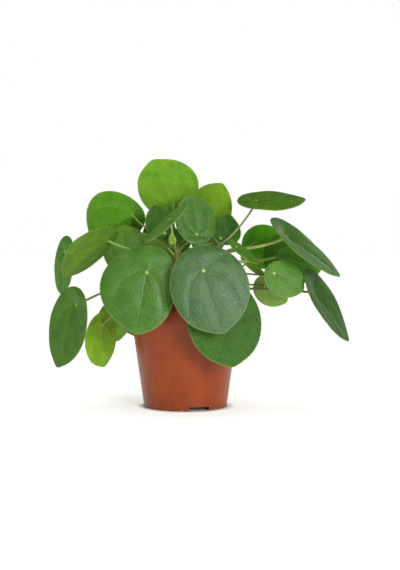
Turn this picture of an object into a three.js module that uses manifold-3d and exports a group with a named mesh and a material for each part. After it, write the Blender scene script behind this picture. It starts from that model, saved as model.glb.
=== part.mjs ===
// A potted Chinese money plant: a terracotta-coloured grower pot filled with soil, one upright stem,
// and round peltate leaves, each on a petiole of its own that springs from the stem.
// Millimetres, +Z up, origin at the centre of the pot's flat underside. The photo's side is -Y.

import * as THREE from "three";
import { mergeVertices } from "three/addons/utils/BufferGeometryUtils.js";
import Module from "manifold-3d";

const wasm = await Module();
wasm.setup();

// Between touching pieces, and between points of a mesh that count as one.
const GAP = 0.3;
const MERGE_DISTANCE = 1e-4;

// Pot
const POT_FOOT_RADIUS = 43.5;
const POT_BODY_TOP_RADIUS = 56.3;
const POT_RIM_RADIUS = 60;
const POT_HEIGHT = 104;
const RIM_HEIGHT = 14.5;
const RIM_EDGE_ROUNDING = 0.8;
const RIM_WALL = 1.8;
const POT_WALL = 1.5;
const FOOT_ROUNDING = 2;
const POT_SIDES = 48;
const DRAIN_SLOTS = 3;
const DRAIN_SLOT_WIDTH = 22;
const DRAIN_SLOT_HEIGHT = 4;
const DRAIN_SLOT_DEPTH = 8;
const DRAIN_SLOT_FIRST_ANGLE = -70;

// Soil. The clearance covers the gap to the pot and the sag of the pot's flat sides. The two waves are
// in radians per millimetre.
const SOIL_TOP = 87;
const SOIL_CLEARANCE = 0.45;
const SOIL_RINGS = 5;
const SOIL_SIDES = 40;
const SOIL_UNEVENNESS = 1.1;
const SWELL_WAVE = 0.12;
const SWELL_SHARE = 0.4;
const CRUMB_WAVE = 1.6;

// Stem
const STEM_RADIUS = 4.5;
const STEM_SIDES = 12;
const STEM_FOOT = 52;
const STEM_ROUTE = [
  [0, 0, STEM_FOOT],
  [0, 0, 92],
  [-3, 0, 120],
  [-8, 1, 150],
  [-12, 2, 182],
];
const STEM_STEPS = 14;
const STEM_HALVINGS = 20;
const BUD_RADIUS = 4.4;
const BUD_RINGS = 8;

// Leaves
const BLADE_THICKNESS = 0.8;
const LARGE_BLADE = 60;
const LARGE_BLADE_SEGMENTS = 20;
const LARGE_BLADE_RINGS = [0.36, 0.7, 1];
const SMALL_BLADE_SEGMENTS = 16;
const SMALL_BLADE_RINGS = [0.5, 1];
const TIP_POINT = 0.035;
const TIP_SHARPNESS = 30;
const HUB_SHARE = 0.28;
const PETIOLE_SIDES = 6;
const PETIOLE_STEPS = 8;
const PETIOLE_RADIUS = 1.3;
const PETIOLE_RISE = 35;
const PETIOLE_LEAN = 0.4;
const PETIOLE_NECK = 0.3;
const PETIOLE_END_SHARE = 0.6;

// Surfaces
const POT_LOOK = { color: "#9c4a2a", roughness: 0.5, metalness: 0 };
const SOIL_LOOK = { color: "#3a2a1e", roughness: 1, metalness: 0 };
const STEM_LOOK = { color: "#6d5a3a", roughness: 0.8, metalness: 0 };
const LEAF_LOOK = { roughness: 0.45, metalness: 0 };

// One row for each leaf, as seen from the front. hub is where the petiole joins the blade, face is the
// way the upper side looks, and tip is where the point lies from the hub, across and up. sink lowers the
// hub below the rest of the blade, dome lowers the rim, fold lifts the two sides of the midrib, and aside
// moves the blade to one side of it. hubShare is the part of the length behind the hub. root is the
// petiole's height on the stem, rise its first climb and turn its first turn sideways, in degrees, and
// from is the way that it comes to the hub. color is that of the side that shows from the front.
const LEAVES = [
  {
    name: "leaf_front_left", hub: [-37, -72, 142], face: [-0.15, -1, 0.22], tip: [-0.17, -1],
    color: "#4f8338", length: 87, width: 77, sink: 1, dome: 4, aside: -7, hubShare: 0.32, root: 126,
  },
  {
    name: "leaf_front_right", hub: [19, -90, 144], face: [0.1, -1, 0.2], tip: [0.3, -0.95],
    color: "#4f7a49", length: 87, width: 78, sink: 1, dome: 4, aside: 1.5, hubShare: 0.3, root: 130,
  },
  {
    name: "leaf_front_low_right", hub: [37, -68, 114], face: [0.2, -1, 0.35], tip: [0.16, -0.97],
    color: "#43761f", length: 90, width: 76, dome: 3, root: 108,
  },
  {
    name: "leaf_far_left_low", hub: [-112, -20, 107], face: [-0.83, -0.53, 0.15], tip: [-0.28, -0.96],
    color: "#457a24", length: 85, width: 76, sink: 4, hubShare: 0.22, root: 122, rise: 20,
    from: [0.85, 0.3, 0.5],
  },
  {
    name: "leaf_left_hanging", hub: [-88, -8, 86], face: [-0.7, 0.62, 0.3], tip: [0.04, -1],
    color: "#6f9330", length: 66, width: 44, sink: 1, fold: 2, hubShare: 0.22, root: 112,
    from: [0.7, -0.2, 0.6],
  },
  {
    name: "leaf_left_behind", hub: [-79, 46, 97], face: [-0.5, 0.8, 0.3], tip: [0.1, -1],
    color: "#4a7c2c", length: 50, width: 44, sink: 1, dome: 1, root: 108, from: [0.7, -0.5, 0.5],
  },
  {
    name: "leaf_left_slanted", hub: [-77, -15, 170], face: [-0.53, 0.43, 0.73], tip: [-0.81, -0.59],
    color: "#5c8230", length: 71, width: 62, sink: 5, aside: 10, hubShare: 0.2, root: 146, turn: -20,
    from: [0.7, -0.3, -0.4],
  },
  {
    name: "leaf_far_left_upright", hub: [-129, 30, 162], face: [-0.88, -0.46, 0.1], tip: [-0.1, -1],
    color: "#4b8432", length: 62, width: 52, sink: 1, dome: 1, root: 140, turn: -25,
    from: [0.9, 0.1, -0.1],
  },
  {
    name: "leaf_left_inner", hub: [-62, 14, 153], face: [-0.1, -0.95, 0.3], tip: [-0.15, 1],
    color: "#4a7c34", length: 54, width: 50, sink: 1, dome: 2, root: 136,
  },
  {
    name: "leaf_back_left_high", hub: [-58, 38, 202], face: [-0.1, 0.9, 0.35], tip: [-0.92, -0.35],
    color: "#4f8c12", length: 60, width: 56, sink: 2, aside: 5, hubShare: 0.2, root: 166,
    from: [0.5, -0.5, -0.6],
  },
  {
    name: "leaf_top_back", hub: [-13, 25, 212], face: [0.05, 0.92, 0.35], tip: [-0.42, 0.9],
    color: "#6ca024", length: 65, width: 64, sink: 1, aside: 1, hubShare: 0.2, root: 174,
    from: [0, -0.5, -0.8],
  },
  {
    name: "leaf_crown_narrow", hub: [-12, -52, 193], face: [-0.67, -0.22, 0.7], tip: [-0.72, -0.69],
    color: "#4c7a3e", length: 51, width: 34, hubShare: 0.42, root: 147, rise: 55, from: [0.15, 0.1, -1],
  },
  {
    name: "leaf_crown_left", hub: [-21, -12, 181], face: [-0.2, -0.9, 0.35], tip: [-0.37, 0.93],
    color: "#36682a", length: 42, width: 30, aside: 2, hubShare: 0.18, root: 160,
  },
  {
    name: "leaf_inner_left", hub: [-23, -22, 160], face: [0.5, 0.43, 0.7], tip: [-0.78, 0.63],
    color: "#4a6a24", length: 44, width: 36, sink: 1, root: 144,
  },
  {
    name: "leaf_young_folded", hub: [-15, -23, 171], face: [0.5, -0.5, 0.2], tip: [0.1, 1],
    color: "#86b038", length: 19, width: 11, fold: 3, root: 163,
  },
  {
    name: "leaf_crown_front", hub: [12, -22, 180], face: [0.3, -0.9, 0.3], tip: [-0.1, 0.98],
    color: "#4c7c40", length: 54, width: 44, sink: 1, dome: 1, hubShare: 0.22, root: 164,
  },
  {
    name: "leaf_crown_right", hub: [37, -2, 176], face: [0.3, -0.85, 0.4], tip: [0.4, 0.9],
    color: "#40722a", length: 37, width: 32, sink: 1, aside: -3, hubShare: 0.2, root: 158,
  },
  {
    name: "leaf_crown_back_right", hub: [24, 38, 187], face: [0.55, 0.8, 0.2], tip: [0.27, 0.96],
    color: "#78a824", length: 72, width: 50, sink: 1, dome: 1, root: 170,
  },
  {
    name: "leaf_right_top", hub: [74, -10, 215], face: [0, -0.36, 0.93], tip: [1, 0.03],
    color: "#4c8426", length: 70, width: 64, sink: 2, dome: 2, hubShare: 0.29, root: 153,
    rise: 8, turn: -8, from: [-0.45, 0, -0.9],
  },
  {
    name: "leaf_right_long", hub: [104, -30, 178], face: [0.61, -0.31, 0.73], tip: [0.77, -0.64],
    color: "#487a40", length: 90, width: 76, sink: 4, hubShare: 0.27, root: 143, from: [-0.85, 0.2, -0.5],
  },
  {
    name: "leaf_right_back_high", hub: [76, 52, 173], face: [0.3, 0.9, 0.3], tip: [0.83, -0.55],
    color: "#3e8408", length: 52, width: 52, sink: 2, dome: 1, root: 148, from: [-0.7, -0.4, -0.6],
  },
  {
    name: "leaf_right_back_low", hub: [96, 28, 157], face: [0.3, 0.85, 0.45], tip: [0.96, -0.27],
    color: "#3c6c18", length: 64, width: 64, sink: 2, aside: -3, hubShare: 0.22, root: 136,
    from: [-0.85, -0.3, -0.35],
  },
  {
    name: "leaf_right_small", hub: [52, -42, 167], face: [0.6, -0.3, 0.75], tip: [0.78, -0.63],
    color: "#4a8424", length: 38, width: 28, sink: 1, root: 140, from: [-0.9, 0.2, -0.3],
  },
  {
    name: "leaf_right_inner_back", hub: [66, 34, 150], face: [0.6, -0.3, 0.75], tip: [0.78, -0.63],
    color: "#6a8a5a", length: 34, width: 30, sink: 1, root: 132,
  },
  {
    name: "leaf_right_round", hub: [91, -36, 140], face: [0.15, -0.95, 0.25], tip: [0.87, -0.5],
    color: "#509038", length: 44, width: 38, sink: 1, dome: 1, hubShare: 0.24, root: 128,
  },
  {
    name: "leaf_right_under", hub: [83, 6, 126], face: [0.2, 0.9, 0.3], tip: [0.8, -0.6],
    color: "#6c9834", length: 40, width: 36, sink: 1, root: 124, rise: 15, from: [-0.9, -0.3, 0.1],
  },
  {
    name: "leaf_far_right_low", hub: [133, -20, 120], face: [0.84, -0.27, 0.47], tip: [0.56, -0.83],
    color: "#36681e", length: 86, width: 78, sink: 4, root: 114, rise: 15, from: [-0.9, 0.2, 0.1],
  },
  {
    name: "leaf_rear_low_left", hub: [-50, 82, 120], face: [-0.35, 0.9, 0.35], tip: [-0.1, -1],
    color: "#4b7c30", length: 78, width: 66, sink: 1, dome: 3, root: 112,
  },
  {
    name: "leaf_rear_low_right", hub: [40, 82, 119], face: [0.35, 0.9, 0.35], tip: [0.15, -1],
    color: "#477a2c", length: 78, width: 64, sink: 1, dome: 3, root: 110,
  },
  {
    name: "leaf_rear_middle", hub: [-6, 106, 140], face: [0.05, 0.95, 0.3], tip: [-0.1, -1],
    color: "#4f8034", length: 80, width: 72, sink: 1, dome: 3, root: 132,
  },
  {
    name: "leaf_rear_left", hub: [-47, 58, 165], face: [-0.5, 0.75, 0.45], tip: [-0.6, -0.5],
    color: "#507f36", length: 56, width: 52, sink: 1, dome: 2, root: 146,
  },
  {
    name: "leaf_rear_high_left", hub: [-24, 50, 174], face: [-0.2, 0.8, 0.5], tip: [-0.4, 0.6],
    color: "#588838", length: 42, width: 38, sink: 1, dome: 1, root: 158,
  },
  {
    name: "leaf_rear_high_right", hub: [18, 66, 171], face: [0.2, 0.85, 0.4], tip: [0.5, 0.5],
    color: "#568636", length: 44, width: 40, sink: 1, dome: 1, root: 155,
  },
];

function toGeometry(solid) {
  const { vertProperties, triVerts } = solid.getMesh();
  const geometry = new THREE.BufferGeometry();
  geometry.setAttribute("position", new THREE.BufferAttribute(vertProperties, 3));
  geometry.setIndex(new THREE.BufferAttribute(triVerts, 1));
  geometry.computeVertexNormals();
  return geometry;
}

function toSolid(geometry) {
  const bare = geometry.clone();
  bare.deleteAttribute("normal");
  bare.deleteAttribute("uv");
  const merged = mergeVertices(bare, MERGE_DISTANCE);
  const vertProperties = new Float32Array(merged.attributes.position.array);
  const triVerts = new Uint32Array(merged.index.array);
  return new wasm.Manifold(new wasm.Mesh({ numProp: 3, vertProperties, triVerts }));
}

function part(name, solid, look) {
  const mesh = new THREE.Mesh(toGeometry(solid), new THREE.MeshStandardMaterial(look));
  mesh.name = name;
  return mesh;
}

function lathe(profile, sides) {
  const points = profile.map(([radius, height]) => new THREE.Vector2(radius, height));
  return new THREE.LatheGeometry(points, sides).rotateX(Math.PI / 2);
}

// The wall's outer radius at a height, on the cone from the foot to the underside of the rim.
function potRadius(height) {
  const share = height / (POT_HEIGHT - RIM_HEIGHT);
  return POT_FOOT_RADIUS + (POT_BODY_TOP_RADIUS - POT_FOOT_RADIUS) * share;
}

function pot() {
  const rimFoot = POT_HEIGHT - RIM_HEIGHT;
  const rimInside = POT_RIM_RADIUS - RIM_WALL;
  const round = RIM_EDGE_ROUNDING;
  const footBevel = FOOT_ROUNDING * (1 - Math.SQRT1_2);
  const profile = [
    [0, 0],
    [POT_FOOT_RADIUS - FOOT_ROUNDING, 0],
    [potRadius(0) - footBevel, footBevel],
    [potRadius(FOOT_ROUNDING), FOOT_ROUNDING],
    [POT_BODY_TOP_RADIUS, rimFoot],
    [POT_RIM_RADIUS - round, rimFoot],
    [POT_RIM_RADIUS, rimFoot + round],
    [POT_RIM_RADIUS, POT_HEIGHT - round],
    [POT_RIM_RADIUS - round, POT_HEIGHT],
    [rimInside + round, POT_HEIGHT],
    [rimInside, POT_HEIGHT - round],
    [rimInside, rimFoot + POT_WALL],
    [POT_BODY_TOP_RADIUS - POT_WALL, rimFoot],
    [potRadius(POT_WALL) - POT_WALL, POT_WALL],
    [0, POT_WALL],
  ];
  let solid = toSolid(lathe(profile, POT_SIDES));
  for (let i = 0; i < DRAIN_SLOTS; i++) {
    const slot = new THREE.BoxGeometry(DRAIN_SLOT_DEPTH, DRAIN_SLOT_WIDTH, 2 * DRAIN_SLOT_HEIGHT);
    slot.translate(POT_FOOT_RADIUS, 0, 0);
    slot.rotateZ(THREE.MathUtils.degToRad(DRAIN_SLOT_FIRST_ANGLE + (i * 360) / DRAIN_SLOTS));
    solid = solid.subtract(toSolid(slot));
  }
  return part("pot", solid, POT_LOOK);
}

// A slow swell and quick crumbs, so the surface is uneven and the same on each run.
function unevenness(x, y) {
  const swell = Math.sin(SWELL_WAVE * x) * Math.cos(SWELL_WAVE * y);
  const crumb = Math.sin(CRUMB_WAVE * (x + y / 2)) * Math.cos(CRUMB_WAVE * (y - x / 2));
  return SOIL_UNEVENNESS * (SWELL_SHARE * swell + (1 - SWELL_SHARE) * crumb);
}

function soil() {
  const foot = POT_WALL + GAP;
  const inside = (height) => potRadius(height) - POT_WALL - SOIL_CLEARANCE;
  const hole = STEM_RADIUS + GAP;
  const profile = [
    [0, STEM_FOOT - GAP],
    [hole, STEM_FOOT - GAP],
    [hole, SOIL_TOP],
  ];
  for (let ring = 1; ring <= SOIL_RINGS; ring++) {
    const radius = hole + ((inside(SOIL_TOP) - hole) * ring) / SOIL_RINGS;
    profile.push([radius, SOIL_TOP]);
  }
  profile.push([inside(foot), foot], [0, foot]);
  const plug = lathe(profile.reverse(), SOIL_SIDES);
  const places = plug.attributes.position;
  for (let i = 0; i < places.count; i++) {
    if (Math.abs(places.getZ(i) - SOIL_TOP) < GAP) {
      places.setZ(i, SOIL_TOP + unevenness(places.getX(i), places.getY(i)));
    }
  }
  return part("soil", toSolid(plug), SOIL_LOOK);
}

// A round section of a given number of sides, swept along a curve.
function tube(curve, radius, sides, steps) {
  const section = new THREE.Shape();
  for (let i = 0; i < sides; i++) {
    const angle = (2 * Math.PI * i) / sides;
    const place = [radius * Math.cos(angle), radius * Math.sin(angle)];
    if (i === 0) {
      section.moveTo(...place);
    } else {
      section.lineTo(...place);
    }
  }
  section.closePath();
  return new THREE.ExtrudeGeometry(section, { steps, extrudePath: curve, curveSegments: 1 });
}

const stemCurve = new THREE.CatmullRomCurve3(
  STEM_ROUTE.map((place) => new THREE.Vector3(...place)),
  false,
  "centripetal",
);

// The stem's axis at a height, found by halving the curve.
function stemAxisAt(height) {
  let low = 0;
  let high = 1;
  for (let i = 0; i < STEM_HALVINGS; i++) {
    const middle = (low + high) / 2;
    if (stemCurve.getPoint(middle).z < height) {
      low = middle;
    } else {
      high = middle;
    }
  }
  return stemCurve.getPoint(low);
}

function stem() {
  const trunk = toSolid(tube(stemCurve, STEM_RADIUS, STEM_SIDES, STEM_STEPS));
  const bud = new THREE.SphereGeometry(BUD_RADIUS, STEM_SIDES, BUD_RINGS);
  bud.rotateX(Math.PI / 2);
  bud.translate(...STEM_ROUTE.at(-1));
  return part("stem", trunk.add(toSolid(bud)), STEM_LOOK);
}

// The blade's middle surface in its own frame: hub at the origin, point along +X, upper side +Z.
// angle goes round from the point, and share goes from the hub to the rim.
function bladePoint(leaf, angle, share) {
  const { length, width, sink = 0, dome = 0, fold = 0, aside = 0, hubShare = HUB_SHARE } = leaf;
  const point = TIP_POINT * length * Math.max(0, Math.cos(angle)) ** TIP_SHARPNESS;
  const along = length * (0.5 - hubShare + 0.5 * Math.cos(angle)) + point;
  const across = 0.5 * width * Math.sin(angle);
  const side = Math.abs(across * share) / (0.5 * width);
  const shift = aside * Math.sin(angle) ** 2;
  const height = sink * share * (2 - share) - dome * share ** 2 + fold * side;
  return new THREE.Vector3(along * share, (across + shift) * share, height);
}

function blade(leaf) {
  const large = leaf.length >= LARGE_BLADE;
  const segments = large ? LARGE_BLADE_SEGMENTS : SMALL_BLADE_SEGMENTS;
  const rings = large ? LARGE_BLADE_RINGS : SMALL_BLADE_RINGS;
  const places = [];
  for (const lift of [BLADE_THICKNESS / 2, -BLADE_THICKNESS / 2]) {
    places.push(0, 0, lift);
    for (const share of rings) {
      for (let i = 0; i < segments; i++) {
        const { x, y, z } = bladePoint(leaf, (2 * Math.PI * i) / segments, share);
        places.push(x, y, z + lift);
      }
    }
  }
  // The underside has the upper side's triangles, turned over, so the two never cross.
  const under = 1 + segments * rings.length;
  const faces = [];
  const at = (ring, i) => 1 + ring * segments + (i % segments);
  const addBoth = (a, b, c) => faces.push(a, b, c, under + a, under + c, under + b);
  for (let i = 0; i < segments; i++) {
    addBoth(0, at(0, i), at(0, i + 1));
    for (let ring = 1; ring < rings.length; ring++) {
      addBoth(at(ring - 1, i), at(ring, i), at(ring, i + 1));
      addBoth(at(ring - 1, i), at(ring, i + 1), at(ring - 1, i + 1));
    }
    const rim = at(rings.length - 1, i);
    const next = at(rings.length - 1, i + 1);
    faces.push(rim, under + rim, under + next, rim, under + next, next);
  }
  const geometry = new THREE.BufferGeometry();
  geometry.setAttribute("position", new THREE.Float32BufferAttribute(places, 3));
  geometry.setIndex(faces);
  return geometry;
}

// The petiole leaves the stem outwards and up, and comes to the hub from below the blade. Its end stops
// short enough for a slanting one not to come out of the upper side.
function petioleCurve(leaf) {
  const { root, rise = PETIOLE_RISE, turn = 0 } = leaf;
  const hub = new THREE.Vector3(...leaf.hub);
  const face = new THREE.Vector3(...leaf.face).normalize();
  const from = leaf.from ? new THREE.Vector3(...leaf.from).normalize() : face.clone().negate();
  const slant = Math.sqrt(1 - Math.min(1, from.dot(face) ** 2));
  const end = hub.clone().addScaledVector(face, -PETIOLE_END_SHARE * PETIOLE_RADIUS * slant);

  const axis = stemAxisAt(root);
  const away = new THREE.Vector3(hub.x - axis.x, hub.y - axis.y, 0).normalize();
  away.applyAxisAngle(new THREE.Vector3(0, 0, 1), THREE.MathUtils.degToRad(turn));
  const tilt = THREE.MathUtils.degToRad(rise);
  const start = away.clone().multiplyScalar(Math.cos(tilt)).setZ(Math.sin(tilt));
  const clear = STEM_RADIUS + GAP + PETIOLE_RADIUS * Math.sin(tilt);
  const foot = axis.clone().addScaledVector(away, clear);
  const span = foot.distanceTo(end);
  return new THREE.CubicBezierCurve3(
    foot,
    foot.clone().addScaledVector(start, PETIOLE_LEAN * span),
    end.clone().addScaledVector(from, PETIOLE_NECK * span),
    end,
  );
}

// The blade's frame: +X to the point, +Z the way the upper side faces. The point's depth follows from
// where it is seen from the front, since it lies in the blade's plane.
function bladeFrame(leaf) {
  const face = new THREE.Vector3(...leaf.face);
  const [tipAcross, tipUp] = leaf.tip;
  const tipDepth = -(tipAcross * face.x + tipUp * face.z) / face.y;
  const along = new THREE.Vector3(tipAcross, tipDepth, tipUp).normalize();
  face.normalize();
  const across = new THREE.Vector3().crossVectors(face, along);
  return new THREE.Matrix4().makeBasis(along, across, face).setPosition(...leaf.hub);
}

function leafMesh(leaf) {
  const frame = bladeFrame(leaf);
  const petiole = tube(petioleCurve(leaf), PETIOLE_RADIUS, PETIOLE_SIDES, PETIOLE_STEPS);
  petiole.applyMatrix4(frame.clone().invert());
  const solid = toSolid(blade(leaf)).add(toSolid(petiole));
  const mesh = part(leaf.name, solid, { ...LEAF_LOOK, color: leaf.color });
  mesh.applyMatrix4(frame);
  return mesh;
}

const plant = new THREE.Group();
plant.add(stem());
for (const leaf of LEAVES) {
  plant.add(leafMesh(leaf));
}

const pottedPlant = new THREE.Group();
pottedPlant.add(pot(), soil(), plant);

export default pottedPlant;
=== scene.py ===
"""The looks of a potted Chinese money plant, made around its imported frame.

Metres, +Z up, origin at the centre of the pot's underside. The photo's side is -Y. Sizes that a plant
grower would give in millimetres are in millimetres here, and turn to metres where a mesh is made.
"""

from functools import partial
from itertools import combinations, product
from math import atan2, cos, exp, pi, radians, sin, sqrt

import bpy
import numpy as np
from bpy.props import FloatProperty, FloatVectorProperty, IntProperty, PointerProperty
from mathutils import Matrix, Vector


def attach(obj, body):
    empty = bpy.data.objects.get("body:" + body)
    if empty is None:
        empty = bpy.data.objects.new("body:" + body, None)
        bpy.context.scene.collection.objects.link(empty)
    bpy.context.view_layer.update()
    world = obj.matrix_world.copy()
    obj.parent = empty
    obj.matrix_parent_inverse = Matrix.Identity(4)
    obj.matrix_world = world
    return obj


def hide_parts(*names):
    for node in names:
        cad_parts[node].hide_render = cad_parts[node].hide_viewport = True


bl_info = {
    "name": "Potted Chinese money plant",
    "version": (1, 0, 0),
    "blender": (4, 5, 0),
    "location": "3D Viewport > Sidebar > Money plant",
    "description": "Makes the pot, soil, stem and leaves of a potted Chinese money plant",
    "category": "Add Mesh",
}

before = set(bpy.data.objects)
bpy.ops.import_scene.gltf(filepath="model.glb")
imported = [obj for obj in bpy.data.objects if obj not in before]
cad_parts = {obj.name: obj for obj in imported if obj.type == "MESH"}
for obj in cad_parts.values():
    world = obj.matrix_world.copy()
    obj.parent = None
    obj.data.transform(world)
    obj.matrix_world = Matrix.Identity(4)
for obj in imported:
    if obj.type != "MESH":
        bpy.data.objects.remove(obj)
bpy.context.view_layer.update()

MM = 0.001

# Upper sides, from the oldest leaves to the bud. The bluer, greyer one is partly painted sheen, for the
# leaf that lies in the key light's reflection.
UPPER_GREENS = {
    "old": "#2e5c08", "shaded": "#365c2c", "grown": "#3e6c1a", "deep": "#40720a", "clear": "#427e0c",
    "mid": "#4a7a10", "fresh": "#588834", "young": "#6e9a28", "bud": "#8cb640",
}
# Undersides are lighter and yellower, the more so the younger and thinner the leaf. They are also painted
# brighter for light: the glow of the backdrop through the blades, and the most on those that lie in shade.
UNDER_GREENS = {
    "plain": "#407c0c", "olive": "#56801c", "bright": "#508c0c", "lush": "#5cac10", "thin": "#629410",
    "yellow": "#7caa1c", "pale": "#8ab04c", "tender": "#88cc50",
}
# Petioles where they leave the stem.
STALKS = {"fresh": "#a4b84a", "straw": "#98a05c", "tan": "#8a7f5c", "brown": "#6a5638"}


def form(*first, **others):
    """A leaf's form: the values that every leaf has, and others."""
    return dict(zip(("green", "hub", "face", "tip", "length", "width", "root"), first), **others)


# Leaf forms, in millimetres and degrees. Each has the green of one side, the hub, where the petiole joins
# the blade, the way that its upper side faces, where its tip lies from the hub as seen from the front,
# across and up, its length and width, and the height of the petiole's root on the stem. rise is the
# petiole's first climb, turn its first turn sideways, start the way that it comes to the hub, stalk its
# thickness against others, and petiole its colour at the stem. heel is the share of the length behind
# the hub. sink lowers the hub, dome lowers the rim, fold lifts both sides of the midrib, aside moves the
# blade to one side, taper narrows it towards its tip, dull is added to its roughness, and relief is the
# share that its veins stand out.
LEAVES = {
    "front_left": form("grown", (-37, -72, 142), (-0.09, -1, 0.2), (-0.17, -1), 87, 77, 126, dome=4,
        aside=-7, heel=0.32),
    # Painted sheen: this leaf's green is made bluer and greyer.
    "front_right": form("shaded", (19, -90, 144), (0.1, -1, 0.2), (0.3, -0.95), 87, 78, 130, dome=4,
        aside=1.5, heel=0.3, dull=0.03, relief=0.8),
    "front_low_right": form("old", (37, -68, 114), (0.2, -1, 0.35), (0.16, -0.97), 90, 76, 108, sink=0,
        dome=3, dull=0.3),
    "far_left_low": form("deep", (-112, -20, 107), (-0.79, -0.6, 0.15), (-0.28, -0.96), 85, 76, 122,
        sink=4, heel=0.22, rise=20, start=(0.85, 0.3, 0.5), dull=0.14, relief=0.4, taper=0.12),
    "left_hanging": form("yellow", (-88, -8, 86), (-0.7, 0.62, 0.3), (0.04, -1), 66, 44, 112, fold=2,
        heel=0.22, start=(0.7, -0.2, 0.6)),
    # Painted light: its underside green is the brightest, for a leaf that lies in shade.
    "left_behind": form("tender", (-79, 46, 97), (-0.5, 0.8, 0.3), (0.1, -1), 50, 44, 108, dome=1,
        start=(0.7, -0.5, 0.5)),
    "left_slanted": form("olive", (-80, -15, 174), (-0.55, 0.48, 0.68), (-0.76, -0.65), 72, 58, 146,
        sink=3, aside=7, heel=0.2, turn=-20, start=(0.7, -0.3, -0.4)),
    "far_left_upright": form("clear", (-130, 30, 162), (-0.87, -0.48, 0.1), (-0.1, -1), 62, 55, 140,
        dome=1, turn=-25, start=(0.9, 0.1, -0.1), dull=0.14),
    "left_inner": form("mid", (-62, 14, 153), (-0.1, -0.95, 0.3), (-0.15, 1), 54, 50, 136, dome=2),
    "back_left_high": form("bright", (-58, 38, 202), (-0.1, 0.9, 0.35), (-0.86, -0.52), 64, 64, 166,
        sink=2, aside=8, heel=0.2, start=(0.5, -0.5, -0.6)),
    "top_back": form("thin", (-13, 25, 212), (0.05, 0.92, 0.35), (-0.42, 0.9), 65, 66, 174, aside=3,
        heel=0.2, start=(0, -0.5, -0.8), petiole="fresh"),
    "crown_narrow": form("fresh", (-15, -52, 195), (-0.64, -0.33, 0.69), (-0.72, -0.69), 59, 35, 147,
        sink=0, heel=0.42, rise=55, start=(0.15, 0.1, -1), taper=0.25, petiole="fresh"),
    "crown_left": form("old", (-21, -12, 181), (-0.2, -0.9, 0.35), (-0.37, 0.93), 42, 30, 160, sink=0,
        aside=2, heel=0.18, dull=0.2, petiole="fresh"),
    "inner_left": form("olive", (-23, -22, 160), (0.5, 0.43, 0.7), (-0.78, 0.63), 44, 36, 144,
        petiole="fresh"),
    "young_folded": form("bud", (-15, -23, 171), (0.5, -0.5, 0.2), (0.1, 1), 19, 11, 163, sink=0, fold=3,
        taper=0.6),
    "crown_front": form("grown", (12, -22, 180), (0.3, -0.9, 0.3), (-0.1, 0.98), 54, 44, 164, dome=1,
        heel=0.22, petiole="fresh"),
    "crown_right": form("old", (37, -2, 176), (0.3, -0.85, 0.4), (0.4, 0.9), 37, 32, 158, aside=-3,
        heel=0.2),
    "crown_back_right": form("yellow", (24, 38, 187), (0.55, 0.8, 0.2), (0.32, 0.95), 73, 54, 170, dome=1,
        aside=-4),
    "right_top": form("mid", (74, -10, 215), (0, -0.36, 0.93), (1, 0.03), 70, 64, 153, sink=2, dome=2,
        heel=0.29, rise=8, turn=-8, start=(-0.45, 0, -0.9), taper=0.22, relief=0.4, petiole="tan"),
    "right_long": form("grown", (104, -30, 178), (0.61, -0.31, 0.73), (0.77, -0.64), 90, 76, 143, sink=4,
        heel=0.27, start=(-0.85, 0.2, -0.5), taper=0.16, dull=-0.02, relief=0.6, stalk=1.35,
        petiole="straw"),
    # Painted light: its underside green is brightened, for a leaf that faces away from the lamps.
    "right_back_high": form("lush", (76, 52, 173), (0.3, 0.9, 0.3), (0.83, -0.55), 52, 52, 148, sink=2,
        dome=1, start=(-0.7, -0.4, -0.6)),
    "right_back_low": form("plain", (96, 28, 157), (0.3, 0.85, 0.45), (0.96, -0.27), 64, 64, 136, sink=2,
        aside=-3, heel=0.22, start=(-0.85, -0.3, -0.35), stalk=1.4, petiole="straw"),
    "right_small": form("mid", (52, -42, 167), (0.58, -0.36, 0.74), (0.78, -0.63), 38, 28, 140,
        start=(-0.9, 0.2, -0.3), dull=0.25),
    # Painted highlight: its pale bud green stands for the sheen of a leaf seen nearly edge on.
    "right_inner_back": form("bud", (66, 34, 150), (0.6, -0.3, 0.75), (0.78, -0.63), 34, 30, 132),
    "right_round": form("mid", (91, -36, 140), (0.15, -0.95, 0.25), (0.87, -0.5), 44, 38, 128, dome=1,
        heel=0.24, dull=0.14, relief=0.5, petiole="brown"),
    "right_under": form("pale", (83, 6, 126), (0.2, 0.9, 0.3), (0.8, -0.6), 40, 36, 124, rise=15,
        start=(-0.9, -0.3, 0.1), petiole="brown"),
    "far_right_low": form("old", (133, -20, 120), (0.82, -0.35, 0.47), (0.56, -0.83), 86, 78, 114, sink=4,
        aside=4, dull=0.08, relief=0.4, rise=15, start=(-0.9, 0.2, 0.1), taper=0.2, petiole="brown"),
    "rear_low_left": form("mid", (-50, 82, 120), (-0.35, 0.9, 0.35), (-0.1, -1), 78, 66, 112, dome=3),
    "rear_low_right": form("grown", (40, 82, 119), (0.35, 0.9, 0.35), (0.15, -1), 78, 64, 110, dome=3),
    "rear_middle": form("fresh", (-6, 106, 140), (0.05, 0.95, 0.3), (-0.1, -1), 80, 72, 132, dome=3),
    "rear_left": form("mid", (-47, 58, 165), (-0.5, 0.75, 0.45), (-0.6, -0.5), 56, 52, 146, dome=2),
    "rear_high_left": form("fresh", (-24, 50, 174), (-0.2, 0.8, 0.5), (-0.4, 0.6), 42, 38, 158, dome=1),
    "rear_high_right": form("young", (18, 66, 171), (0.2, 0.85, 0.4), (0.5, 0.5), 44, 40, 155, dome=1),
}
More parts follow.
